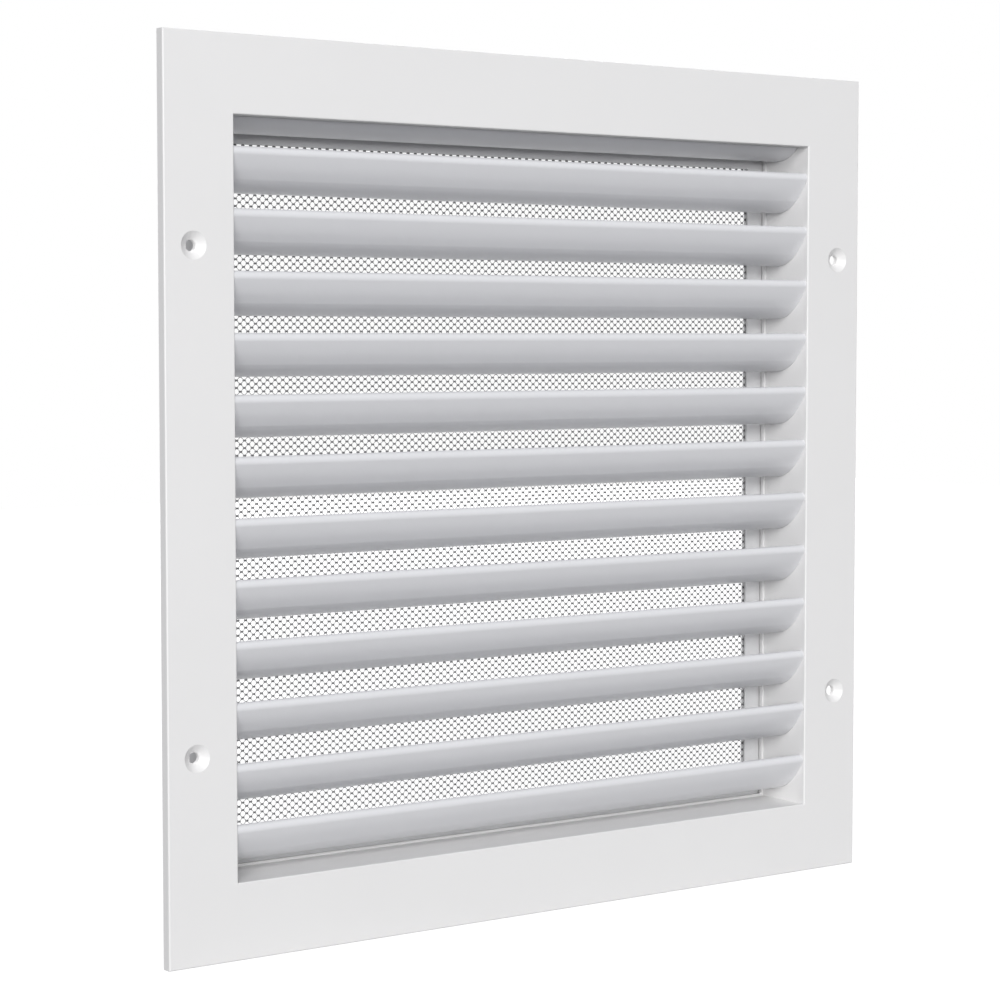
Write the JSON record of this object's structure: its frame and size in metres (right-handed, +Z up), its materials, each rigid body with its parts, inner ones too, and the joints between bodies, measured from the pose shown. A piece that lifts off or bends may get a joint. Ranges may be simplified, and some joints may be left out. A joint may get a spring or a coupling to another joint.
{
  "type": "wall vent grille",
  "caption": "Square wall vent grille with a flat screw-on flange, fixed curved blades and an insect screen behind them.",
  "frame": {"origin": "centre of the four screw holes, on the wall plane that the rear of the flange meets", "axes": "+X across to the right as seen from the room, +Y into the wall along the neck, +Z up"},
  "size_m": [0.356, 0.0346, 0.356],
  "materials": {
    "frame_coat": "white powder coat, satin",
    "blade_coat": "white powder coat, satin",
    "strip_coat": "white coated rolled strip",
    "key_metal": "mill finish",
    "screen_metal": "dull expanded metal",
    "screw_steel": "zinc plated"
  },
  "bodies": {
    "root": {"frame_top": "frame_coat", "frame_bottom": "frame_coat", "frame_left": "frame_coat", "frame_right": "frame_coat", "corner_key_top_left": "key_metal", "corner_key_top_right": "key_metal", "corner_key_bottom_left": "key_metal", "corner_key_bottom_right": "key_metal", "top_blade": "blade_coat", "blade_01": "blade_coat", "blade_02": "blade_coat", "blade_03": "blade_coat", "blade_04": "blade_coat", "blade_05": "blade_coat", "blade_06": "blade_coat", "blade_07": "blade_coat", "blade_08": "blade_coat", "blade_09": "blade_coat", "blade_10": "blade_coat", "blade_11": "blade_coat", "blade_12": "blade_coat", "blade_screws_left": "screw_steel", "blade_screws_right": "screw_steel", "screen_strip_top": "strip_coat", "screen_strip_bottom": "strip_coat", "screen_strip_left": "strip_coat", "screen_strip_right": "strip_coat", "insect_screen": "screen_metal"}
  },
  "joints": []
}
